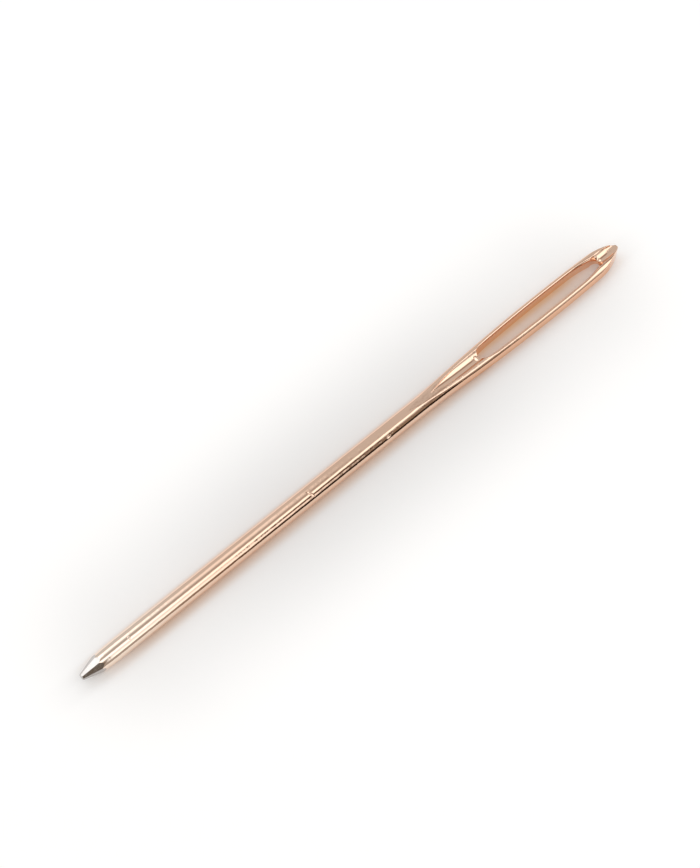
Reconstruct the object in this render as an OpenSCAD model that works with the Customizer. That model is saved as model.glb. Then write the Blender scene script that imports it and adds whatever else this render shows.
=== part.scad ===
// Yarn needle: one forged steel wire with a thin rose gold coat.
// It lies on a table along X, with its point at -X, its nose at +X and its eye open along Z.
// All sizes are in millimetres.

/* [Wire] */
// Length from the blunt tip to the nose
length = 70; // [60:1:90]
// Diameter of the round shaft, over the coat
shaft_d = 1.9; // [1.7:0.05:2.1]

/* [Point] */
// Length of the rounded taper
point_l = 4.2; // [3.4:0.2:6]
// Diameter that the taper alone would reach at the tip
taper_end_d = 1.28; // [1.1:0.02:1.4]
// Width across the ground flats at the tip
tip_d = 0.56; // [0.4:0.02:0.8]
// Number of ground flats round the tip
flat_count = 8; // [6:2:10]
// Slope of a flat against the wire's axis, in degrees
flat_slope = 15.4; // [12:0.2:18]

/* [Head] */
// Width of the head at its widest place
head_w = 2.9; // [2.6:0.05:3]
// Thickness of the flattened head
head_t = 1.5; // [1.35:0.05:1.6]
// Length over which the shaft swells to the widest place
swell_l = 19; // [17:0.5:22]
// Share of the swell that curves inward
swell_hollow = 0.3; // [0.2:0.05:0.4]
// Distance from the widest place to the nose's end
shoulder_l = 10; // [9:0.5:11]
// Length of the pointed part of the nose
nose_l = 4.6; // [4.2:0.1:5.4]
// Half width at which the two sides of the nose meet its rounded end
nose_half = 0.16; // [0.12:0.02:0.24]
// Radius of the nose's end, seen from above
nose_r = 0.45; // [0.4:0.05:0.6]
// Radius of the nose's end, seen from the side
nose_edge_r = 0.3; // [0.2:0.05:0.4]
// Distance by which the forging starts before the swell
forge_lead = 0.5; // [0.4:0.1:1]
// Distance from the forging's start to the line where its flats leave the wire's top
flat_lag = 0.1; // [0.1:0.05:0.3]

/* [Eye] */
// Width of the rail on each side of the eye
rail_w = 0.55; // [0.45:0.05:0.65]
// Length of the eye
eye_l = 17; // [15:0.5:18]
// Metal between the eye and the nose's end
bridge_l = 2.7; // [2.4:0.1:3.2]
// Radius of the eye's end at the nose
eye_end_r = 0.5; // [0.4:0.05:0.6]
// Length over which the eye narrows to that end
eye_taper_l = 3.3; // [2.6:0.1:4]

/* [Gutters] */
// Length of the gutter that leads from the shaft into the eye
gutter_l = 6.7; // [5.5:0.1:7.5]
// Thickness left between the upper and the lower gutter at the eye
web_t = 0.8; // [0.6:0.05:0.9]
// Radius of the gutter's round floor, across the needle
gutter_r = 0.8; // [0.75:0.05:1]
// Rise of the nose gutter's floor from the eye to the nose's end
nose_rise = 0.15; // [0.1:0.01:0.2]
// Half width of the nose gutter where it leaves the nose
nose_gutter_half = 0.3; // [0.24:0.02:0.4]
// Radius of the rolled lip between the gutter and the eye
lip_r = 0.28; // [0.2:0.02:0.34]
// Height of the lip above the gutter's floor
lip_h = 0.07; // [0.04:0.01:0.12]

/* [Coat] */
// Thickness of the rose gold coat
coat_t = 0.02; // [0.015:0.005:0.03]

/* [Hidden] */

// Facets of small and of very large circles
$fn = 96;
wide_fn = 1440;
// Length by which a cutter or a blank passes the surface that it meets
past = 1;

wire_r = shaft_d / 2;
head_r = head_w / 2;

// Places along the needle, counted from the tip
widest_x = length - shoulder_l;
swell_x = widest_x - swell_l;
nose_x = length - nose_l;
eye_end_x = length - bridge_l;
eye_start_x = eye_end_x - eye_l;
gutter_x = eye_start_x - gutter_l;
flat_x = eye_start_x - 2 * lip_r;
// Where the round wire ends and the forged head starts
forge_x = swell_x - forge_lead;

// Radius of an arc that leaves a line along it and drops by "drop" over "run"
function arc_r(run, drop) = (run * run + drop * drop) / (2 * drop);

// How far an arc of radius r has dropped after "run"
function arc_drop(r, run) = r - sqrt(r * r - run * run);

// The swell is an inward arc from the wire, then an outward arc to the widest place
swell_r = arc_r(swell_l, head_r - wire_r);
hollow_r = swell_hollow * swell_r;
round_r = (1 - swell_hollow) * swell_r;
bend_x = swell_x + swell_hollow * swell_l;
bend_half = wire_r + swell_hollow * (head_r - wire_r);

// Taper of the point
taper_r = arc_r(point_l, wire_r - taper_end_d / 2);

// Sides of the nose
nose_start_half = head_r - arc_drop(round_r, nose_x - widest_x);
nose_side_r = arc_r(nose_l, nose_start_half - nose_half);

// Flats of the head, which run in from the wire's top along a long arc
flat_run = flat_x - forge_x - flat_lag;
flat_r = arc_r(flat_run, wire_r - head_t / 2);

// Half width of the eye between its ends
function eye_half(x) = head_r - rail_w - arc_drop(round_r - rail_w, abs(x - widest_x));
eye_start_r = eye_half(eye_start_x + eye_half(eye_start_x));
eye_start_centre = eye_start_x + eye_start_r;
eye_end_centre = eye_end_x - eye_end_r;
eye_taper_x = eye_end_centre - eye_taper_l;
eye_taper_r = arc_r(eye_taper_l, eye_half(eye_taper_x) - eye_end_r);

// Gutter floors and outlines
gutter_top = head_t / 2 + arc_drop(flat_r, flat_x - gutter_x);
gutter_floor_r = arc_r(gutter_l, gutter_top - web_t / 2);
gutter_side_r = arc_r(eye_start_centre - gutter_x, eye_start_r);
nose_floor_r = arc_r(bridge_l, nose_rise);
nose_gutter_start = nose_start_half - rail_w;
nose_gutter_r = arc_r(nose_l, nose_gutter_start - nose_gutter_half);

// Two large circles that cross in a lens, each bulging out to "half" at x
module lens(x, half, r) {
    intersection_for(side = [-1, 1])
        translate([x, side * (r - half)])
            circle(r, $fn = wide_fn);
}

// A strip between two places along the needle, wide enough to cross it
module strip(x0, x1) {
    translate([x0, -head_w])
        square([x1 - x0, 2 * head_w]);
}

// Half outline of the tapered wire up to "end", as radius and distance from the tip
module wire_outline(inset, end) {
    intersection() {
        translate([0, -past])
            square([wire_r - inset, point_l + past]);
        translate([wire_r - taper_r, point_l])
            circle(taper_r - inset, $fn = wide_fn);
    }
    translate([0, point_l])
        square([wire_r - inset, end - point_l]);
}

// Half outline of the head's round blank from "start" on
module blank_outline(inset, start) {
    translate([0, start])
        square([wire_r - inset, length + past - start]);
    difference() {
        translate([0, swell_x])
            square([bend_half, bend_x - swell_x]);
        translate([wire_r + hollow_r, swell_x])
            circle(hollow_r + inset, $fn = wide_fn);
    }
    intersection() {
        translate([0, bend_x])
            square([head_w, length + past - bend_x]);
        translate([head_r - round_r, widest_x])
            circle(round_r - inset, $fn = wide_fn);
    }
}

// An outline turned about the needle's axis
module turned() {
    rotate([0, 90, 0])
        rotate_extrude()
            children();
}

// Outline from above: the nose's two sides and its rounded end
module plan_outline(inset) {
    strip(forge_x - 2 * past, nose_x);
    intersection() {
        lens(nose_x, nose_start_half - inset, nose_side_r - inset);
        union() {
            strip(nose_x, length - nose_r);
            translate([length - nose_r, 0])
                circle(nose_r - inset);
        }
    }
}

// Outline from the side: the head's flats, their run-in and the nose's rounded edges
module side_outline(inset) {
    half = head_t / 2 - inset;
    difference() {
        strip(forge_x - 2 * past, flat_x);
        for (side = [-1, 1])
            translate([flat_x, side * (head_t / 2 + flat_r)])
                circle(flat_r + inset, $fn = wide_fn);
    }
    translate([flat_x, -half])
        square([length - nose_edge_r - flat_x, 2 * half]);
    translate([flat_x, nose_edge_r - head_t / 2])
        square([length - inset - flat_x, head_t - 2 * nose_edge_r]);
    for (side = [-1, 1])
        translate([length - nose_edge_r, side * (head_t / 2 - nose_edge_r)])
            circle(nose_edge_r - inset);
}

// Outline of the eye from above
module eye_outline(inset) {
    intersection() {
        lens(widest_x, head_r - rail_w + inset, round_r - rail_w + inset);
        union() {
            strip(eye_start_centre, eye_taper_x);
            intersection() {
                strip(eye_taper_x, eye_end_centre);
                lens(eye_taper_x, eye_half(eye_taper_x) + inset, eye_taper_r + inset);
            }
        }
    }
    translate([eye_start_centre, 0])
        circle(eye_start_r + inset);
    translate([eye_end_centre, 0])
        circle(eye_end_r + inset);
}

// A wheel with a round rim that sinks from above to "floor_z" at x
module floor_cutter(x, floor_z, r, inset) {
    translate([x, 0, floor_z + r])
        rotate([90, 0, 0])
            rotate_extrude($fn = wide_fn)
                intersection() {
                    translate([0, -head_w])
                        square([2 * r, 2 * head_w]);
                    union() {
                        translate([r - gutter_r, 0])
                            circle(gutter_r + inset);
                        translate([0, -gutter_r - inset])
                            square([r - gutter_r, 2 * (gutter_r + inset)]);
                    }
                }
}

// Gutter in the upper face, from the shaft into the eye
module shaft_gutter(inset) {
    intersection() {
        linear_extrude(height = 2 * head_t)
            intersection() {
                strip(gutter_x - past, eye_start_centre);
                lens(eye_start_centre, eye_start_r + inset, gutter_side_r + inset);
            }
        floor_cutter(eye_start_x, web_t / 2, gutter_floor_r, inset);
    }
}

// Gutter in the upper face, from the eye out through the nose
module nose_gutter(inset) {
    intersection() {
        linear_extrude(height = 2 * head_t)
            intersection() {
                strip(eye_end_centre, length + past);
                lens(nose_x, nose_gutter_start + inset, nose_gutter_r + inset);
            }
        floor_cutter(eye_end_x, web_t / 2, nose_floor_r, inset);
    }
}

// Rolled lip across the gutter's end, at the edge of the eye
module lip(inset) {
    translate([eye_start_x - lip_r, 0, web_t / 2 + lip_h - lip_r])
        rotate([90, 0, 0])
            cylinder(r = lip_r - inset, h = 2 * eye_start_r, center = true);
}

// The head from "start" on, drawn inside its surface by "inset"
module head(inset, start) {
    difference() {
        intersection() {
            turned()
                blank_outline(inset, start);
            translate([0, 0, -head_w])
                linear_extrude(height = 2 * head_w)
                    plan_outline(inset);
            translate([0, head_w, 0])
                rotate([90, 0, 0])
                    linear_extrude(height = 2 * head_w)
                        side_outline(inset);
        }
        translate([0, 0, -head_w])
            linear_extrude(height = 2 * head_w)
                eye_outline(inset);
        for (face = [0, 1])
            mirror([0, 0, face]) {
                shaft_gutter(inset);
                nose_gutter(inset);
            }
    }
    for (face = [0, 1])
        mirror([0, 0, face])
            lip(inset);
}

// What grinding takes off at the tip: the flats and the end
module ground_away() {
    translate([-3 * past, -shaft_d, -shaft_d])
        cube([3 * past, 2 * shaft_d, 2 * shaft_d]);
    for (i = [0 : flat_count - 1])
        rotate([i * 360 / flat_count, 0, 0])
            translate([0, 0, tip_d / 2])
                rotate([0, -flat_slope, 0])
                    translate([-2 * past, -shaft_d, 0])
                        cube([2 * past + 2 * point_l, 2 * shaft_d, shaft_d]);
}

// Puts the needle on the table, with its middle over the origin
module on_table() {
    translate([-length / 2, 0, wire_r])
        children();
}

module wire_shaft() {
    color("silver")
        on_table()
            difference() {
                turned()
                    wire_outline(coat_t, forge_x);
                ground_away();
            }
}

module coat_of_shaft() {
    color("rosybrown")
        on_table()
            difference() {
                turned()
                    wire_outline(0, forge_x);
                turned()
                    wire_outline(coat_t, forge_x + past);
                ground_away();
            }
}

module forged_head() {
    color("silver")
        on_table()
            head(coat_t, forge_x);
}

module coat_of_head() {
    color("rosybrown")
        on_table()
            difference() {
                head(0, forge_x);
                head(coat_t, forge_x - past);
            }
}

wire_shaft();
forged_head();
coat_of_shaft();
coat_of_head();
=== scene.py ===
import math

import bpy
import numpy as np
from mathutils import Matrix, Vector

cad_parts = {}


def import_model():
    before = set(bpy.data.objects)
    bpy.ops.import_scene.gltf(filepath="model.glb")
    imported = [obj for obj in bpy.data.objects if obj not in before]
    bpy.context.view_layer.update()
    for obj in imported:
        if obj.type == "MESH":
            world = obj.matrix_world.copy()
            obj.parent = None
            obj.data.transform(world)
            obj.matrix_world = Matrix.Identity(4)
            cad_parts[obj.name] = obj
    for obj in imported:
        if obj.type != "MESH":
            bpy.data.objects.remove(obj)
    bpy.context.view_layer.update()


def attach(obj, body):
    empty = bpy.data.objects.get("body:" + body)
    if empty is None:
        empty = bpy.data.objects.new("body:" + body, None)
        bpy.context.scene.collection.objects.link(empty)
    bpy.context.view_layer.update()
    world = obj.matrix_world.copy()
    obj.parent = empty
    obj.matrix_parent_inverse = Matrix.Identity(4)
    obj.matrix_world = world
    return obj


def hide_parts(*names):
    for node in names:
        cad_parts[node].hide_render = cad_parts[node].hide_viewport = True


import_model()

# Sizes of the needle in millimetres, as in the part's source; x is counted from the blunt tip
MM = 0.001
LENGTH = 70.0
WIRE_R = 0.95
POINT_L = 4.2
TAPER_END_R = 0.64
TIP_R = 0.28
FLATS = 8
FLAT_SLOPE = math.tan(math.radians(15.4))
HEAD_R = 1.45
HALF_T = 0.75
WIDEST_X = 60.0
SWELL_L = 19.0
SWELL_HOLLOW = 0.3
NOSE_X = 65.4
NOSE_HALF = 0.16
NOSE_R = 0.45
NOSE_EDGE_R = 0.3
FORGE_LEAD = 0.5
FLAT_LAG = 0.1
RAIL_W = 0.55
EYE_START = 50.3
EYE_END = 67.3
EYE_END_R = 0.5
EYE_TAPER_L = 3.3
GUTTER_X = 43.6
WEB_HALF = 0.4
GUTTER_R = 0.8
NOSE_RISE = 0.15
NOSE_GUTTER_HALF = 0.3
LIP_R = 0.28
LIP_H = 0.07
COAT_T = 0.02

SWELL_X = WIDEST_X - SWELL_L
FORGE_X = SWELL_X - FORGE_LEAD
FLAT_X = EYE_START - 2 * LIP_R


def arc_r(run, drop):
    """Radius of an arc that leaves a line along it and drops by "drop" over "run"."""
    return (run * run + drop * drop) / (2 * drop)


def arc_drop(r, run):
    """How far an arc of radius r has dropped after "run"."""
    return r - np.sqrt(np.maximum(r * r - run * run, 0.0))


SWELL_R = arc_r(SWELL_L, HEAD_R - WIRE_R)
HOLLOW_R = SWELL_HOLLOW * SWELL_R
ROUND_R = (1 - SWELL_HOLLOW) * SWELL_R
BEND_X = SWELL_X + SWELL_HOLLOW * SWELL_L
TAPER_R = arc_r(POINT_L, WIRE_R - TAPER_END_R)
NOSE_START = HEAD_R - arc_drop(ROUND_R, NOSE_X - WIDEST_X)
NOSE_SIDE_R = arc_r(LENGTH - NOSE_X, NOSE_START - NOSE_HALF)
FLAT_R = arc_r(FLAT_X - FORGE_X - FLAT_LAG, WIRE_R - HALF_T)


def eye_half(x):
    """Half width of the eye between its ends."""
    return HEAD_R - RAIL_W - arc_drop(ROUND_R - RAIL_W, np.abs(x - WIDEST_X))


EYE_START_R = float(eye_half(EYE_START + eye_half(EYE_START)))
EYE_START_C = EYE_START + EYE_START_R
EYE_END_C = EYE_END - EYE_END_R
EYE_TAPER_X = EYE_END_C - EYE_TAPER_L
EYE_TAPER_R = arc_r(EYE_TAPER_L, float(eye_half(EYE_TAPER_X)) - EYE_END_R)
GUTTER_TOP = HALF_T + float(arc_drop(FLAT_R, FLAT_X - GUTTER_X))
GUTTER_FLOOR_R = arc_r(EYE_START - GUTTER_X, GUTTER_TOP - WEB_HALF)
GUTTER_SIDE_R = arc_r(EYE_START_C - GUTTER_X, EYE_START_R)
NOSE_FLOOR_R = arc_r(LENGTH - EYE_END, NOSE_RISE)
NOSE_GUTTER_START = NOSE_START - RAIL_W
NOSE_GUTTER_SIDE_R = arc_r(LENGTH - NOSE_X, NOSE_GUTTER_START - NOSE_GUTTER_HALF)


# Radii of the polished edges, in millimetres
CREST_R = 0.3
EYE_EDGE_R = 0.32
RIM_R = 0.07
CORNER_R = 0.05
NOSE_CORNER_R = 0.06
LIP_BLEND = 0.06

# Smallest shares or radii of those edges, and the runs over which they grow, in millimetres
CREST_SHARE = 0.05
CREST_LAG = 1.0
RIM_SHARE = 0.15
RIM_RUN = 3.0
EYE_EDGE_LEAST_R = 0.02
EYE_EDGE_RUN = 0.3, 2.0

# Net of the head: numeric step for slopes, spacing, shifts and half counts across the needle
STEP = 0.002
NET_YZ = 0.047
NET_SHIFT_Y = 0.004
NET_SHIFT_Z = 0.003
NET_HALF_Y = 33
NET_HALF_Z = 22

# Net of the head: its spacing along the needle, from each place on
NET_X = [
    (FORGE_X, 0.3), (GUTTER_X, 0.12), (EYE_START - 1.2, 0.05), (EYE_START + 1.2, 0.14),
    (EYE_START + 3.5, 0.3), (EYE_END_C - 3.5, 0.14), (EYE_END_C - 0.6, 0.05),
    (LENGTH + 0.1, 0.05),
]

# Net of the head: how often its points move onto the surface, and the least slope in a move
SURFACE_MOVES = 6
LEAST_SLOPE = 0.05

# Wire: vertices round it, rows along its taper, shaft and ground flats, and search steps
ROUND_STEPS = 96
TAPER_ROWS = 25
SHAFT_ROWS = 91
FLAT_ROWS = 13
HALVINGS = 40


# Shape of the head as a field of distances in millimetres


def ramp(x, lo, hi):
    """Smooth rise from 0 at lo to 1 at hi."""
    t = np.clip((x - lo) / (hi - lo), 0.0, 1.0)
    return t * t * (3 - 2 * t)


def round_max(a, b, r):
    """Both fields at once, with the edge between them rounded to radius r."""
    u, v = np.maximum(a + r, 0.0), np.maximum(b + r, 0.0)
    return np.minimum(-r, np.maximum(a, b)) + np.hypot(u, v)


def grown(r, share, t):
    """A radius that grows from a share of itself to all of it as t goes from 0 to 1."""
    return r * (share + (1 - share) * t)


def blank_r(x):
    """Radius of the round blank from the taper to the nose."""
    taper = WIRE_R - arc_drop(TAPER_R, np.maximum(POINT_L - x, 0.0))
    hollow = WIRE_R + arc_drop(HOLLOW_R, np.clip(x - SWELL_X, 0.0, BEND_X - SWELL_X))
    swell = HEAD_R - arc_drop(ROUND_R, np.abs(x - WIDEST_X))
    return np.where(x < POINT_L, taper, np.where(x < BEND_X, hollow, swell))


def plan_field(x, y):
    """Distance past the nose's outline from above."""
    y = np.abs(y)
    centre = NOSE_START - NOSE_SIDE_R
    side = np.where(
        x < NOSE_X, y - 2 * HEAD_R, np.hypot(x - NOSE_X, y - centre) - NOSE_SIDE_R
    )
    end = np.where(
        x < LENGTH - NOSE_R, x - LENGTH, np.hypot(x - (LENGTH - NOSE_R), y) - NOSE_R
    )
    return round_max(side, end, CORNER_R)


def side_field(x, z):
    """Distance past the head's flats, their run-in and the nose's rounded edges."""
    z = np.abs(z)
    run_in = FLAT_R - np.hypot(x - FLAT_X, z - HALF_T - FLAT_R)
    flat = np.where(x < FLAT_X, run_in, z - HALF_T)
    return round_max(flat, x - LENGTH, NOSE_EDGE_R)


def eye_field(x, y):
    """Distance past the eye's outline from above, negative in the eye."""
    y = np.abs(y)
    r = ROUND_R - RAIL_W
    rails = np.hypot(x - WIDEST_X, y - (HEAD_R - RAIL_W) + r) - r
    taper_half = float(eye_half(EYE_TAPER_X))
    r = EYE_TAPER_R
    taper = np.hypot(x - EYE_TAPER_X, y - taper_half + r) - r
    field = np.where(x < EYE_TAPER_X, rails, np.maximum(rails, taper))
    start = np.hypot(x - EYE_START_C, y) - EYE_START_R
    end = np.hypot(x - EYE_END_C, y) - EYE_END_R
    return np.where(x < EYE_START_C, start, np.where(x > EYE_END_C, end, field))


def wheel_field(x, y, z, x0, z0, r):
    """Distance past a wheel with a round rim, lowest at x0 and z0; negative inside it."""
    out = np.hypot(x - x0, z - z0 - r) - (r - GUTTER_R)
    return np.where(out > 0, np.hypot(out, y), np.abs(y)) - GUTTER_R


def gutters_field(x, y, z):
    """Negative inside either gutter, on both faces."""
    y, z = np.abs(y), np.abs(z)
    r = GUTTER_SIDE_R
    plan = np.hypot(x - EYE_START_C, y - EYE_START_R + r) - r
    plan = np.maximum(plan, x - EYE_START_C)
    wheel = wheel_field(x, y, z, EYE_START, WEB_HALF, GUTTER_FLOOR_R)
    shaft = round_max(plan, wheel, CORNER_R)
    r = NOSE_GUTTER_SIDE_R
    plan = np.hypot(x - NOSE_X, y - NOSE_GUTTER_START + r) - r
    plan = np.maximum(plan, EYE_END_C - x)
    wheel = wheel_field(x, y, z, EYE_END, WEB_HALF, NOSE_FLOOR_R)
    return np.minimum(shaft, round_max(plan, wheel, CORNER_R))


def lip_field(x, y, z):
    """Rolled lip at the end of the shaft's gutter, on both faces."""
    round_bar = np.hypot(x - EYE_START + LIP_R, np.abs(z) - WEB_HALF - LIP_H + LIP_R)
    return np.maximum(round_bar - LIP_R, np.abs(y) - EYE_START_R)


def head_field(x, y, z):
    """Negative inside the forged head."""
    body = np.hypot(y, z) - blank_r(x)
    crest = grown(CREST_R, CREST_SHARE, ramp(x, FORGE_X + CREST_LAG, FLAT_X))
    body = round_max(body, side_field(x, z), crest)
    body = round_max(body, plan_field(x, y), NOSE_CORNER_R)
    rim = grown(RIM_R, RIM_SHARE, ramp(x, GUTTER_X, GUTTER_X + RIM_RUN))
    body = round_max(body, -gutters_field(x, y, z), rim)
    edge = EYE_EDGE_R * ramp(np.hypot(x - EYE_START, y), *EYE_EDGE_RUN) + EYE_EDGE_LEAST_R
    body = round_max(body, -eye_field(x, y), edge)
    lip = lip_field(x, y, z)
    h = np.maximum(LIP_BLEND - np.abs(body - lip), 0.0) / LIP_BLEND
    return np.minimum(body, lip) - h * h * LIP_BLEND / 4


# Meshes of the head


def slope(p):
    """The head field's slope at points p."""
    out = np.empty_like(p)
    for i in range(3):
        d = np.zeros(3)
        d[i] = STEP
        a, b = p + d, p - d
        out[:, i] = (head_field(*a.T) - head_field(*b.T)) / (2 * STEP)
    return out


def to_surface(p, keep_x):
    """Moves points onto the head's surface; those in keep_x stay in their plane."""
    for _ in range(SURFACE_MOVES):
        g = slope(p)
        g[keep_x, 0] = 0.0
        size = np.maximum((g * g).sum(1), LEAST_SLOPE)
        p = p - g * (head_field(*p.T) / size)[:, None]
    return p


def steps(stops):
    """Places along the head from (place, spacing) pairs."""
    out = []
    for (a, d), (b, _) in zip(stops[:-1], stops[1:]):
        n = max(1, round((b - a) / d))
        out.extend(a + (b - a) * i / n for i in range(n))
    out.append(stops[-1][0])
    return np.array(out)


def sign_changes(f, axes):
    """For each cell, the sum of the places where the field changes sign, and their count."""
    shape = tuple(n - 1 for n in f.shape)
    total = np.zeros(shape + (3,))
    count = np.zeros(shape)
    for axis in range(3):
        a = f.take(range(f.shape[axis] - 1), axis)
        b = f.take(range(1, f.shape[axis]), axis)
        cross = (a < 0) != (b < 0)
        part = np.where(cross, a / np.where(cross, a - b, 1.0), 0.0)
        where = np.meshgrid(*[np.arange(n) for n in cross.shape], indexing="ij")
        spot = np.stack([axes[i][where[i]] for i in range(3)], -1)
        spot[..., axis] += part * np.diff(axes[axis])[where[axis]]
        others = [i for i in range(3) if i != axis]
        for s, t in ((0, 0), (0, 1), (1, 0), (1, 1)):
            cut = [slice(None)] * 3
            cut[others[0]] = slice(s, s + shape[others[0]])
            cut[others[1]] = slice(t, t + shape[others[1]])
            cut = tuple(cut)
            total += spot[cut] * cross[cut][..., None]
            count += cross[cut]
    return total, count


def quads_between(f, index):
    """A quad across each edge on which the field changes sign, facing outward."""
    quads = []
    for axis in range(3):
        a = f.take(range(f.shape[axis] - 1), axis) < 0
        b = f.take(range(1, f.shape[axis]), axis) < 0
        i, j = (axis + 1) % 3, (axis + 2) % 3
        hits = np.argwhere(a != b)
        hits = hits[(hits[:, i] > 0) & (hits[:, j] > 0)]
        hits = hits[(hits[:, i] < index.shape[i]) & (hits[:, j] < index.shape[j])]
        corners = []
        for di, dj in ((1, 1), (0, 1), (0, 0), (1, 0)):
            cell = hits.copy()
            cell[:, i] -= di
            cell[:, j] -= dj
            corners.append(index[tuple(cell.T)])
        quad = np.stack(corners, 1)
        outside = ~a[tuple(hits.T)]
        quad[outside] = quad[outside][:, ::-1]
        quads.append(quad)
    return np.concatenate(quads)


def net(xs, ys, zs):
    """Vertices and quads where the head field changes sign, and which are the first in x."""
    f = head_field(xs[:, None, None], ys[None, :, None], zs[None, None, :])
    f = np.broadcast_to(f, (len(xs), len(ys), len(zs)))
    total, count = sign_changes(f, (xs, ys, zs))
    used = count > 0
    index = np.full(count.shape, -1)
    index[used] = np.arange(used.sum())
    verts = total[used] / count[used][:, None]
    first = np.zeros(count.shape, bool)
    first[0] = True
    return verts, quads_between(f, index), first[used]


def border(quads):
    """The vertices of the open border, in order round it."""
    ahead = {}
    pairs = set()
    for q in quads.tolist():
        pairs.update(zip(q, q[1:] + q[:1]))
    for a, b in pairs:
        if (b, a) not in pairs:
            ahead[b] = a
    start = min(ahead)
    loop = [start]
    while ahead[loop[-1]] != start:
        loop.append(ahead[loop[-1]])
    return loop


def place(p):
    """From millimetres along the needle to metres in the frame."""
    return (np.asarray(p) + np.array([-LENGTH / 2, 0.0, WIRE_R])) * MM


def make(name, verts, faces, normals, slot, nodes):
    """A smooth mesh piece with its own normals, riding on the needle."""
    mesh = bpy.data.meshes.new(name)
    mesh.from_pydata(place(verts).tolist(), [], [list(map(int, f)) for f in faces])
    mesh.validate()
    mesh.shade_smooth()
    if normals is not None:
        mesh.normals_split_custom_set_from_vertices(normals.tolist())
    obj = bpy.data.objects.new(name, mesh)
    bpy.context.scene.collection.objects.link(obj)
    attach(obj, "root")
    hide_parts(*nodes)
    return obj


def skin_and_core(verts, quads, normals, loop):
    """A coat of one thickness over a core, both open to the flat end "loop"."""
    n = len(verts)
    flat = normals.copy()
    flat[loop, 0] = 0.0
    flat /= np.linalg.norm(flat, axis=1)[:, None]
    inner = verts - COAT_T * flat
    rim = [(loop[i - 1], loop[i], loop[i] + n, loop[i - 1] + n) for i in range(len(loop))]
    both = np.concatenate([quads, quads[:, ::-1] + n]).tolist() + rim
    skin = (np.concatenate([verts, inner]), both, np.concatenate([normals, -normals]))
    core = (inner, quads.tolist() + [loop], normals)
    return skin, core


def head():
    """The forged head: its coat, and the steel under it."""
    ys = np.arange(-NET_HALF_Y, NET_HALF_Y + 1) * NET_YZ + NET_SHIFT_Y
    zs = np.arange(-NET_HALF_Z, NET_HALF_Z + 1) * NET_YZ + NET_SHIFT_Z
    verts, quads, first = net(steps(NET_X), ys, zs)
    verts[first, 0] = FORGE_X
    verts = to_surface(verts, first)
    normals = slope(verts)
    normals[first, 0] = 0.0
    normals /= np.linalg.norm(normals, axis=1)[:, None]
    return skin_and_core(verts, quads, normals, border(quads))


# Meshes of the round wire


def flat_turn(angle):
    """Angle round the needle from the middle of the nearest ground flat."""
    pitch = 2 * math.pi / FLATS
    return (angle + pitch / 2) % pitch - pitch / 2


def flat_r(x, angle):
    """Distance from the needle's axis to the ground flats."""
    return (TIP_R + x * FLAT_SLOPE) / np.cos(flat_turn(angle))


def tip_reach(angle):
    """How far along the needle the ground flats reach at an angle round it."""
    lo, hi = 0.0, POINT_L
    for _ in range(HALVINGS):
        mid = (lo + hi) / 2
        if flat_r(mid, angle) < float(blank_r(np.array(mid))):
            lo = mid
        else:
            hi = mid
    return lo


def rings(rows):
    """Quads between rows of ROUND_STEPS vertices each."""
    out = []
    for i in range(rows - 1):
        for j in range(ROUND_STEPS):
            k = (j + 1) % ROUND_STEPS
            a, b = i * ROUND_STEPS, (i + 1) * ROUND_STEPS
            out.append((a + j, b + j, b + k, a + k))
    return out


def ring(out, x, r):
    """Points round the needle at places x and radii r."""
    points = out * np.broadcast_to(r, len(out))[:, None]
    points[:, 0] = x
    return points


def round_rows(out, reach):
    """Points and normals of the round wire, from the ground flats to the forging."""
    places = [reach + (POINT_L - reach) * s for s in np.linspace(0, 1, TAPER_ROWS)]
    shaft = np.linspace(POINT_L, FORGE_X, SHAFT_ROWS)[1:]
    places += [np.full(ROUND_STEPS, x) for x in shaft]
    points, normals = [], []
    for x in places:
        points.append(ring(out, x, blank_r(x)))
        normal = out.copy()
        normal[:, 0] = (blank_r(x - STEP) - blank_r(x + STEP)) / (2 * STEP)
        normals.append(normal / np.linalg.norm(normal, axis=1)[:, None])
    return np.concatenate(points), np.concatenate(normals)


def tube(outer, inner, normals):
    """A coat between two sets of rings, closed at both ends."""
    n = len(outer)
    last = n - ROUND_STEPS
    skin = rings(n // ROUND_STEPS)
    faces = skin + [tuple(reversed([v + n for v in q])) for q in skin]
    for j in range(ROUND_STEPS):
        k = (j + 1) % ROUND_STEPS
        faces.append((j, k, k + n, j + n))
        faces.append((last + j, last + j + n, last + k + n, last + k))
    return np.concatenate([outer, inner]), faces, np.concatenate([normals, -normals])


def wire():
    """The round wire: its coat behind the ground flats, and the steel with the flats."""
    angles = np.arange(ROUND_STEPS) * 2 * math.pi / ROUND_STEPS
    out = np.stack([np.zeros_like(angles), np.sin(angles), np.cos(angles)], 1)
    reach = np.array([tip_reach(a) for a in angles])
    outer, normals = round_rows(out, reach)
    inner = outer - COAT_T * normals
    shares = np.linspace(0, 1, FLAT_ROWS)
    flats = [ring(out, reach * s, flat_r(reach * s, angles)) for s in shares]
    steel = np.concatenate(flats + [inner])
    faces = rings(len(steel) // ROUND_STEPS)
    end = len(steel) - ROUND_STEPS
    faces.append(tuple(range(ROUND_STEPS)))
    faces.append(tuple(range(end, len(steel)))[::-1])
    return tube(outer, inner, normals), (steel, faces)


def flat_shaded(obj):
    """Marks the ground flats of the wire, which are plane, and its two ends."""
    polygons = obj.data.polygons
    for i, poly in enumerate(polygons):
        poly.use_smooth = FLAT_ROWS * ROUND_STEPS <= i < len(polygons) - 2


head_skin, head_core = head()
wire_skin, wire_core = wire()

shaft_coat = make("shaft_coat", *wire_skin, "rose_gold", ["coat_of_shaft"])
head_coat = make("head_coat", *head_skin, "rose_gold", ["coat_of_head"])
shaft_steel = make("shaft_steel", *wire_core, None, "steel", ["wire_shaft"])
head_steel = make("head_steel", *head_core, "steel", ["forged_head"])
flat_shaded(shaft_steel)


# Materials


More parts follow.
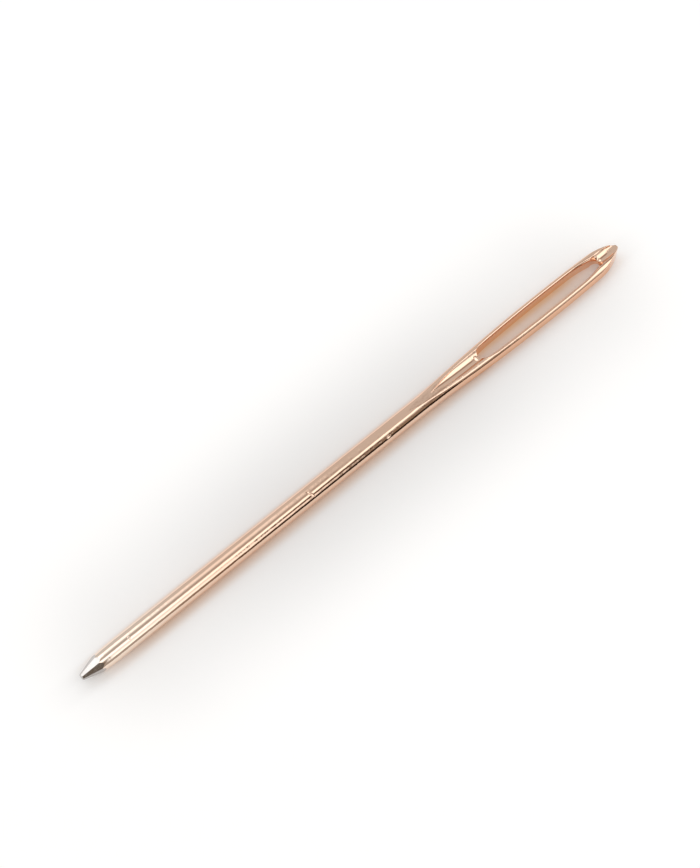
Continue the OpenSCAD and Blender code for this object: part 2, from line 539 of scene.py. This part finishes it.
def links(tree, pairs):
    """Joins sockets of one node tree."""
    for a, b in pairs:
        tree.links.new(a, b)


def node(tree, kind, **inputs):
    """A shader node with some of its inputs or properties set."""
    made = tree.nodes.new(kind)
    for key, value in inputs.items():
        if hasattr(made, key):
            setattr(made, key, value)
        else:
            made.inputs[key.replace("_", " ")].default_value = value
    return made


def ramp_node(tree, stops):
    """A colour ramp with grey or coloured stops."""
    made = tree.nodes.new("ShaderNodeValToRGB")
    ramp_of = made.color_ramp
    while len(ramp_of.elements) < len(stops):
        ramp_of.elements.new(0.5)
    for element, (at, colour) in zip(ramp_of.elements, stops):
        element.position = at
        rgb = colour if isinstance(colour, tuple) else (colour,) * 3
        element.color = (*rgb, 1.0)
    return made


# Small dents in the shaft: middle and half sizes in millimetres, and the turn in degrees
NICKS = [
    ((-7.4, -0.4, 1.8), (0.16, 0.55, 0.5), 30.0),
    ((-29.6, -0.3, 1.86), (0.14, 0.2, 0.5), 0.0),
    ((2.4, -0.72, 1.6), (0.3, 0.12, 0.3), 0.0),
]

# Noise in the metal: scale per metre, detail and roughness
MARKS_NOISE = 1.0, 3.0, 0.6
BROAD_NOISE = 220.0, 2.0, 0.5
WAVES_NOISE = 1100.0, 1.0, 0.5
FINE_NOISE = 5200.0, 2.0, 0.6
MARKS_STRETCH = 300.0, 9000.0, 9000.0

# Bumps in the metal: strength, and distance in metres
MARKS_BUMP = 0.12, 0.00001
FINE_BUMP = 0.3, 0.00001
WAVES_BUMP = 0.12, 0.0001
NICK_BUMP = 0.9, 0.00009

# Where the coat's painted paleness starts toward the point, and where it is palest, in metres; it
# stands in for the whiter light on the point
PALE_FROM = -0.017
PALE_TO = -0.033

# Metals: colour, darker colour, roughness, grain, and the colour where it is palest, a painted
# paleness for the whiter light on the point
ROSE_GOLD = (0.94, 0.66, 0.5), (0.9, 0.62, 0.46), 0.055, 1.0, (0.94, 0.77, 0.64)
STEEL = (0.6, 0.57, 0.55), (0.5, 0.47, 0.45), 0.2, 2.0

# Where in the noise the metals' colour and roughness are least and most, and the roughness
# there as a share of the metal's own
TINT_STOPS = 0.3, 0.7
GLOSS_STOPS = 0.35, 0.7
GLOSS_SHARES = 0.75, 1.35


def nick(tree, where, middle, half, turn):
    """Height of one small dent."""
    at = node(tree, "ShaderNodeMapping", vector_type="TEXTURE")
    at.inputs["Location"].default_value = [v * MM for v in middle]
    at.inputs["Rotation"].default_value = (0.0, 0.0, math.radians(turn))
    at.inputs["Scale"].default_value = [v * MM for v in half]
    away = node(tree, "ShaderNodeVectorMath", operation="LENGTH")
    dent = node(tree, "ShaderNodeMapRange", interpolation_type="SMOOTHSTEP")
    dent.inputs["To Min"].default_value = -1.0
    dent.inputs["To Max"].default_value = 0.0
    links(tree, [
        (where, at.inputs["Vector"]),
        (at.outputs["Vector"], away.inputs[0]),
        (away.outputs["Value"], dent.inputs["Value"]),
    ])
    return dent.outputs[0]


def nicks(tree, where):
    """Height of the small dents in the shaft."""
    heights = [nick(tree, where, *values) for values in NICKS]
    total = heights[0]
    for height in heights[1:]:
        both = node(tree, "ShaderNodeMath", operation="ADD")
        links(tree, [(total, both.inputs[0]), (height, both.inputs[1])])
        total = both.outputs[0]
    return total


def bumps(tree, heights):
    """Bumps one on top of another, from (height socket, strength, distance) in order."""
    last = None
    for height, strength, distance in heights:
        bump = node(tree, "ShaderNodeBump", Strength=strength, Distance=distance)
        links(tree, [(height, bump.inputs["Height"])])
        if last is not None:
            links(tree, [(last, bump.inputs["Normal"])])
        last = bump.outputs["Normal"]
    return last


def noise(tree, where, scale, detail, rough):
    """Noise over places in the metal."""
    made = node(tree, "ShaderNodeTexNoise", Scale=scale, Detail=detail, Roughness=rough)
    links(tree, [(where, made.inputs["Vector"])])
    return made.outputs["Fac"]


def stretched(tree, where):
    """Places with the needle's length pressed together, for lengthwise marks."""
    along = node(tree, "ShaderNodeMapping")
    along.inputs["Scale"].default_value = MARKS_STRETCH
    links(tree, [(where, along.inputs["Vector"])])
    return along.outputs["Vector"]


def paler(tree, where, colour, pale):
    """A colour painted paler toward the point, standing in for the whiter light there."""
    axes = node(tree, "ShaderNodeSeparateXYZ")
    # Share of the painted paleness, which stands in for whiter light toward the point
    painted_pale_share = node(tree, "ShaderNodeMapRange", interpolation_type="SMOOTHSTEP")
    painted_pale_share.inputs["From Min"].default_value = PALE_FROM
    painted_pale_share.inputs["From Max"].default_value = PALE_TO
    mix = node(tree, "ShaderNodeMix", data_type="RGBA")
    mix.inputs[7].default_value = (*pale, 1.0)
    links(tree, [
        (where, axes.inputs[0]),
        (axes.outputs[0], painted_pale_share.inputs["Value"]),
        (painted_pale_share.outputs[0], mix.inputs[0]),
        (colour, mix.inputs[6]),
    ])
    return mix.outputs[2]


def metal(name, base, dark, rough, grain, pale=None):
    """Polished metal: fine lengthwise marks, faint waves and small colour changes; with pale, its
    colour is painted paler toward the point.
    """
    mat = bpy.data.materials.new(name)
    mat.use_nodes = True
    tree = mat.node_tree
    shader = tree.nodes["Principled BSDF"]
    shader.inputs["Metallic"].default_value = 1.0
    where = node(tree, "ShaderNodeTexCoord").outputs["Object"]
    fine = noise(tree, where, *FINE_NOISE)
    parts = [
        (noise(tree, stretched(tree, where), *MARKS_NOISE), MARKS_BUMP),
        (fine, FINE_BUMP),
        (noise(tree, where, *WAVES_NOISE), WAVES_BUMP),
    ]
    heights = [(height, power * grain, far) for height, (power, far) in parts]
    tint = ramp_node(tree, list(zip(TINT_STOPS, (dark, base))))
    gloss = ramp_node(tree, [(at, rough * n) for at, n in zip(GLOSS_STOPS, GLOSS_SHARES)])
    colour = tint.outputs["Color"]
    if pale is not None:
        colour = paler(tree, where, colour, pale)
        heights.append((nicks(tree, where), *NICK_BUMP))
    links(tree, [
        (noise(tree, where, *BROAD_NOISE), tint.inputs["Fac"]),
        (fine, gloss.inputs["Fac"]),
        (gloss.outputs["Color"], shader.inputs["Roughness"]),
        (colour, shader.inputs["Base Color"]),
        (bumps(tree, heights), shader.inputs["Normal"]),
    ])
    return mat


rose = metal("rose_gold", *ROSE_GOLD)
steel = metal("steel", *STEEL)
for obj, mat in ((shaft_coat, rose), (head_coat, rose), (shaft_steel, steel), (head_steel, steel)):
    obj.data.materials.append(mat)


# Stage: floor, room, lamps and camera

# Floor: half its size in metres, and its grid along the needle and to each side in millimetres
FLOOR_HALF = 1.5
FLOOR_ALONG = np.arange(-60, 61)
FLOOR_ACROSS = np.concatenate([np.arange(0, 6, 0.2), np.arange(6, 31)])

# Floor: its glow beside the needle and far off, and what it gains at the needle's ends; the low
# glow beside the needle is a painted shadow halo, painted lighter at the ends
GLOW_NEAR = 0.14
GLOW_FAR = 0.42
GLOW_ENDS = 0.1

# Floor: how warm it is before the needle and at the needle's axis, painted warm light
# bounced from the metal, and where the metal of the head mirrors it, a painted warmer
# reflection: before the head, under its near half and under its far half
WARM_FRONT = 0.7
WARM_AXIS = 0.5
BOUNCE_FRONT = 0.5
BOUNCE_NEAR = 0.08
BOUNCE_FAR = 0.27

# Floor: its colours from plain to warmest, the warm ones painted bounce light from the metal
FLOOR_TINTS = [
    (0.0, (0.8, 0.79, 0.78)), (0.6, (0.74, 0.61, 0.52)), (1.0, (0.7, 0.46, 0.27)),
]

# Floor: the runs over which it changes, in metres; a third value is the softness of both ends
GLOW_REACH = 0.027
GLOW_RUN = 0.001, 0.014
ENDS_RUN_X = 0.008, 0.028
ENDS_RUN_Y = 0.0009, 0.0018
WARM_FRONT_RUN = -0.0021, -0.0006
WARM_EYE_RUN = 0.0002, 0.0012
WARM_BACK_RUN = 0.0013, 0.0017
WARM_X = -0.031, 0.032, 0.01
BOUNCE_X = 0.012, 0.036, 0.006
BOUNCE_FRONT_Y = -0.001

# Room, and the radius of the tent and the lamps round the needle in metres
WORLD_LEVEL = 0.66
TENT_R = 0.4

# Lamps: name, angle from straight up toward the camera's side and width in degrees, two
# places along the needle in metres, and level
LAMPS = [
    ("key_lamp", 25.0, 30.0, -0.35, 0.6, 0.6),
    ("back_lamp", -35.0, 30.0, -0.35, 0.6, 0.5),
]

# Camera: the way back to it and its right before the roll, roll in degrees, distance and
# shifts of the aim in metres, lens, sensor and nearest distance
CAMERA_BACK = -0.377, -0.393, 0.839
CAMERA_RIGHT = 0.7218, -0.692, 0.0
CAMERA_ROLL = 0.33
CAMERA_FAR = 0.2205
AIM_LEFT = 0.001408
AIM_UP = 0.001548
LENS_MM = 96.35
SENSOR_MM = 36.0
CLIP_START = 0.01


def window(value, lo, hi, soft):
    """1 between lo and hi, with a soft edge at each."""
    up = ramp(value, lo - soft / 2, lo + soft / 2)
    return up * (1 - ramp(value, hi - soft / 2, hi + soft / 2))


def sheet(name, points, **values):
    """A stage piece from a grid of points, with values for its shader at each point."""
    rows, n = points.shape[:2]
    mesh = bpy.data.meshes.new(name)
    i, j = np.meshgrid(np.arange(rows - 1), np.arange(n - 1), indexing="ij")
    k = (i * n + j).ravel()
    quads = np.stack([k, k + 1, k + n + 1, k + n], 1)
    mesh.from_pydata(points.reshape(-1, 3).tolist(), [], quads.tolist())
    for key, value in values.items():
        layer = mesh.attributes.new(key, "FLOAT", "POINT")
        layer.data.foreach_set("value", np.asarray(value, float).ravel())
    mat = bpy.data.materials.new(name)
    mat.use_nodes = True
    mat.node_tree.nodes.remove(mat.node_tree.nodes["Principled BSDF"])
    mesh.materials.append(mat)
    obj = bpy.data.objects.new(name, mesh)
    bpy.context.scene.collection.objects.link(obj)
    return obj, mat


def glow_with_painted_halo(x, y):
    """How much the floor glows: least beside the middle of the needle, a painted shadow halo."""
    far = np.hypot(np.maximum(np.abs(x) - GLOW_REACH, 0.0), y)
    ends = ramp(np.abs(x), *ENDS_RUN_X) * ramp(np.abs(y), *ENDS_RUN_Y)
    low = GLOW_NEAR + GLOW_ENDS * ends
    return low + (GLOW_FAR - low) * ramp(far, *GLOW_RUN)


def painted_warm_bounce(x, y):
    """How warm the floor is, as painted warm light bounced from the metal: most beside the needle
    and in its eye.
    """
    front = WARM_FRONT * ramp(y, *WARM_FRONT_RUN)
    in_eye = WARM_AXIS + (1 - WARM_AXIS) * ramp(y, *WARM_EYE_RUN)
    back = in_eye * (1 - ramp(y, *WARM_BACK_RUN))
    return np.where(y < 0, front, back) * window(x, *WARM_X)


def painted_bounce_reflection(x, y):
    """How much warmer the metal of the head mirrors the floor, a painted warmer reflection."""
    under = np.where(y < 0, BOUNCE_NEAR, BOUNCE_FAR)
    return np.where(y < BOUNCE_FRONT_Y, BOUNCE_FRONT, under) * window(x, *BOUNCE_X)


def floor():
    """A pale table top that keeps the needle's shadow and turns white further off; beside the
    needle it has a painted shadow halo and painted warm bounce light from the metal.
    """
    near = FLOOR_ACROSS * MM
    xs = np.concatenate([[-FLOOR_HALF], FLOOR_ALONG * MM, [FLOOR_HALF]])
    ys = np.concatenate([[-FLOOR_HALF], -near[:0:-1], near, [FLOOR_HALF]])
    y, x = np.meshgrid(ys, xs, indexing="ij")
    values = {"glow": glow_with_painted_halo(x, y), "warm": painted_warm_bounce(x, y), "bounce": painted_bounce_reflection(x, y)}
    _, mat = sheet("floor", np.stack([x, y, np.zeros_like(x)], -1), **values)
    tree = mat.node_tree
    read = {
        key: node(tree, "ShaderNodeAttribute", attribute_name=key).outputs["Fac"]
        for key in values
    }
    tint = ramp_node(tree, FLOOR_TINTS)
    matt = node(tree, "ShaderNodeBsdfDiffuse")
    glow = node(tree, "ShaderNodeEmission")
    both = node(tree, "ShaderNodeAddShader")
    path = node(tree, "ShaderNodeLightPath")
    # Glossy rays see the floor warmer still: a painted warmer reflection in the metal of the head
    mirrored = node(tree, "ShaderNodeMath", operation="MULTIPLY_ADD")
    seen = node(tree, "ShaderNodeMath", operation="MAXIMUM")
    also = node(tree, "ShaderNodeMath", operation="MAXIMUM")
    level = node(tree, "ShaderNodeMath", operation="MULTIPLY")
    links(tree, [
        (path.outputs["Is Glossy Ray"], mirrored.inputs[0]),
        (read["bounce"], mirrored.inputs[1]),
        (read["warm"], mirrored.inputs[2]),
        (mirrored.outputs[0], tint.inputs["Fac"]),
        (tint.outputs["Color"], matt.inputs["Color"]),
        (tint.outputs["Color"], glow.inputs["Color"]),
        (path.outputs["Is Camera Ray"], seen.inputs[0]),
        (path.outputs["Is Glossy Ray"], seen.inputs[1]),
        (seen.outputs[0], also.inputs[0]),
        (path.outputs["Is Transmission Ray"], also.inputs[1]),
        (also.outputs[0], level.inputs[0]),
        (read["glow"], level.inputs[1]),
        (level.outputs[0], glow.inputs["Strength"]),
        (matt.outputs[0], both.inputs[0]),
        (glow.outputs[0], both.inputs[1]),
        (both.outputs[0], tree.nodes["Material Output"].inputs["Surface"]),
    ])


def sky_direction(alpha):
    """Direction at an angle from straight up toward the camera's side, across the needle."""
    a = math.radians(alpha)
    return Vector((0.0, -math.sin(a), math.cos(a)))


def softbox(name, alpha, width, x0, x1, level):
    """A soft lamp for the table top, from x0 to x1 along the needle, in metres."""
    up = sky_direction(alpha)
    data = bpy.data.lights.new(name, "AREA")
    data.shape = "RECTANGLE"
    data.size = x1 - x0
    data.size_y = 2 * TENT_R * math.tan(math.radians(width / 2))
    data.energy = level * math.pi * data.size * data.size_y
    side = Vector((1.0, 0.0, 0.0))
    turn = Matrix((side, up.cross(side), up)).transposed()
    spot = Matrix.Translation(up * TENT_R + side * (x0 + x1) / 2)
    obj = bpy.data.objects.new(name, data)
    bpy.context.scene.collection.objects.link(obj)
    obj.matrix_world = spot @ turn.to_4x4()
    obj.visible_glossy = False


def world():
    """A plain pale room."""
    scene_world = bpy.data.worlds.new("room")
    bpy.context.scene.world = scene_world
    scene_world.use_nodes = True
    back = scene_world.node_tree.nodes["Background"]
    back.inputs["Color"].default_value = (WORLD_LEVEL, WORLD_LEVEL, WORLD_LEVEL, 1.0)


# Tent that the polished metal reflects: level of its wall, its least level, its length in
# metres, its steps in degrees and metres, and the colours from dim to bright parts
TENT_WALL = 0.62
TENT_LEAST = 0.03
TENT_X = -0.4, 0.8
TENT_STEP_A = 1.0
TENT_STEP_X = 0.003
TENT_TINTS = [(0.1, (1.0, 0.7, 0.45)), (0.55, 1.0)]

# Panels of the tent. Angles run from straight up toward the camera's side, in degrees, and
# places along the needle are in metres. Each has its two angles, its soft edge, its two
# places, its soft end, and what it adds to the wall.
TENT_PANELS = [
    ("key", 19, 37, 7, -0.4, 0.206, 0.012, 1.0),
    ("key_head", 3, 50, 8, 0.206, 0.7, 0.012, 1.0),
    ("low_key", 57, 76, 8, 0.03, 0.13, 0.03, 0.75),
    ("low_key_end", 59, 74, 8, 0.13, 0.152, 0.02, 0.45),
    ("join", 37, 57, 6, 0.03, 0.12, 0.006, 0.4),
    ("gap", 42, 58, 6, 0.12, 0.166, 0.006, -0.5),
    ("far_gap", 50, 80, 12, 0.157, 0.206, 0.012, -0.35),
    ("back_strip", -44, -15, 12, -0.4, 0.14, 0.04, 0.42),
    ("back_strip_tip", -40, -20, 8, -0.4, 0.085, 0.012, 0.4),
    ("back_gap", -4, 9, 10, -0.4, 0.155, 0.02, -0.22),
    ("horizon", 79, 101, 8, -0.4, 0.7, 0.05, -0.4),
    ("horizon_end", 79, 101, 8, 0.1, 0.7, 0.03, -0.18),
    ("horizon_head", 79, 101, 8, 0.206, 0.7, 0.01, 0.2),
    ("rail_gap", -24, -4, 8, 0.206, 0.5, 0.01, -0.28),
    ("tip_gap", 48, 76, 10, -0.3, 0.02, 0.03, -0.42),
    ("tip_top", -50, -5, 12, -0.3, 0.02, 0.03, 0.5),
]

# Dark strip before the needle: its places along it in millimetres, and its distance and
# height in metres
FLAG_ALONG = np.arange(-60, 81)
FLAG_Y = -0.007
FLAG_H = 0.0024

# Dark strip: its level at the point, what it loses toward the middle and gains at the head,
# and the runs of both in metres
FLAG_LEVEL = 0.4
FLAG_LOSS = 0.37
FLAG_GAIN = 0.18
FLAG_LOSS_RUN = -0.03, -0.005
FLAG_GAIN_RUN = 0.016, 0.021


def lit(name, points, level):
    """A glowing stage piece that only reflections see."""
    obj, mat = sheet(name, points, level=level)
    tree = mat.node_tree
    glow = node(tree, "ShaderNodeEmission")
    read = node(tree, "ShaderNodeAttribute", attribute_name="level")
    tint = ramp_node(tree, TENT_TINTS)
    links(tree, [
        (read.outputs["Fac"], tint.inputs["Fac"]),
        (tint.outputs["Color"], glow.inputs["Color"]),
        (read.outputs["Fac"], glow.inputs["Strength"]),
        (glow.outputs[0], tree.nodes["Material Output"].inputs["Surface"]),
    ])
    mat.cycles.emission_sampling = "NONE"
    obj.visible_camera = False
    obj.visible_diffuse = False
    obj.visible_shadow = False
    obj.visible_transmission = False


def tent():
    """A soft white tent round the needle."""
    alphas = np.arange(-90.0, 90.0 + TENT_STEP_A / 2, TENT_STEP_A)
    alpha, x = np.meshgrid(alphas, np.arange(*TENT_X, TENT_STEP_X), indexing="ij")
    level = np.full(alpha.shape, TENT_WALL)
    for _, a0, a1, soft_a, x0, x1, soft_x, more in TENT_PANELS:
        level += more * window(alpha, a0, a1, soft_a) * window(x, x0, x1, soft_x)
    a = np.radians(alpha)
    points = np.stack([x, -TENT_R * np.sin(a), TENT_R * np.cos(a)], -1)
    lit("tent", points, np.maximum(level, TENT_LEAST))


def flag():
    """A low dark strip that stands along the needle's front side."""
    x, z = np.meshgrid(FLAG_ALONG * MM, np.array([0.0, FLAG_H]), indexing="ij")
    points = np.stack([x, np.full_like(x, FLAG_Y), z], -1)
    loss = FLAG_LOSS * ramp(x, *FLAG_LOSS_RUN)
    lit("flag", points, FLAG_LEVEL - loss + FLAG_GAIN * ramp(x, *FLAG_GAIN_RUN))


def camera():
    """The camera at the photograph's angle and distance."""
    back = Vector(CAMERA_BACK).normalized()
    right = Vector(CAMERA_RIGHT).normalized()
    up = back.cross(right)
    roll = math.radians(CAMERA_ROLL)
    right, up = (
        right * math.cos(roll) + up * math.sin(roll),
        up * math.cos(roll) - right * math.sin(roll),
    )
    aim = Vector((0.0, 0.0, WIRE_R * MM)) - right * AIM_LEFT + up * AIM_UP
    data = bpy.data.cameras.new("camera")
    data.lens = LENS_MM
    data.sensor_width = SENSOR_MM
    data.clip_start = CLIP_START
    obj = bpy.data.objects.new("camera", data)
    turn = Matrix((right, up, back)).transposed()
    obj.matrix_world = Matrix.Translation(aim + back * CAMERA_FAR) @ turn.to_4x4()
    bpy.context.scene.collection.objects.link(obj)
    bpy.context.scene.camera = obj


floor()
world()
for lamp in LAMPS:
    softbox(*lamp)
tent()
flag()
camera()

bpy.context.scene.view_settings.view_transform = "Standard"
